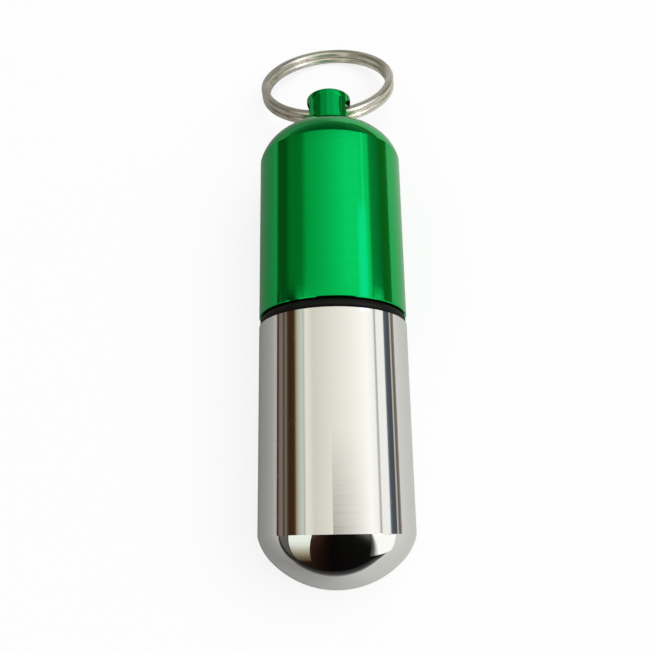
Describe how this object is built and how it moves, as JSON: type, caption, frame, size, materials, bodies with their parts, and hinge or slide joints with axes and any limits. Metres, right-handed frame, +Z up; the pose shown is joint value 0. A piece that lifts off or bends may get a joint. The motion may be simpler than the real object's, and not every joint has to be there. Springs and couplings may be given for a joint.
{
  "type": "pill fob keychain",
  "caption": "Capsule-shaped metal pill holder: polished vial with a threaded neck, rubber seal, anodised screw cap, and a split key ring through a boss on the cap.",
  "frame": {"origin": "on the table, under the middle of the part's whole length, ring included, and under the capsule's axis", "axes": "+Y along the capsule from the domed bottom to the ring, +Z up, X along the cross hole in the boss"},
  "size_m": [0.026, 0.105, 0.025],
  "materials": {
    "polished_aluminium": "turned and polished to a mirror",
    "seal_rubber": "moulded, satin",
    "green_anodised": "polished, then dyed green and anodised",
    "nickel_plate": "nickel-plated spring steel, bright"
  },
  "bodies": {
    "vial": {"vial": "polished_aluminium"},
    "o_ring": {"o_ring": "seal_rubber"},
    "cap": {"cap": "green_anodised"},
    "split_ring": {"split_ring": "nickel_plate"}
  },
  "joints": [
    {"name": "cap_turn", "type": "hinge", "parent": "vial", "child": "o_ring", "pos_m": [0, -0.00955, 0.0125], "axis": [0, 1, 0], "range_deg": [0, 2160]},
    {"name": "cap_lift", "type": "slide", "parent": "o_ring", "child": "cap", "axis": [0, 1, 0], "range_m": [0, 0.009]},
    {"name": "ring_swing", "type": "hinge", "parent": "cap", "child": "split_ring", "pos_m": [0, 0.03094, 0.0125], "axis": [1, 0, 0], "range_deg": [-114, 171.5]}
  ],
  "couplings": [
    {"joint": "cap_lift", "follows": "cap_turn", "m_per_rad": 0.00023873}
  ]
}
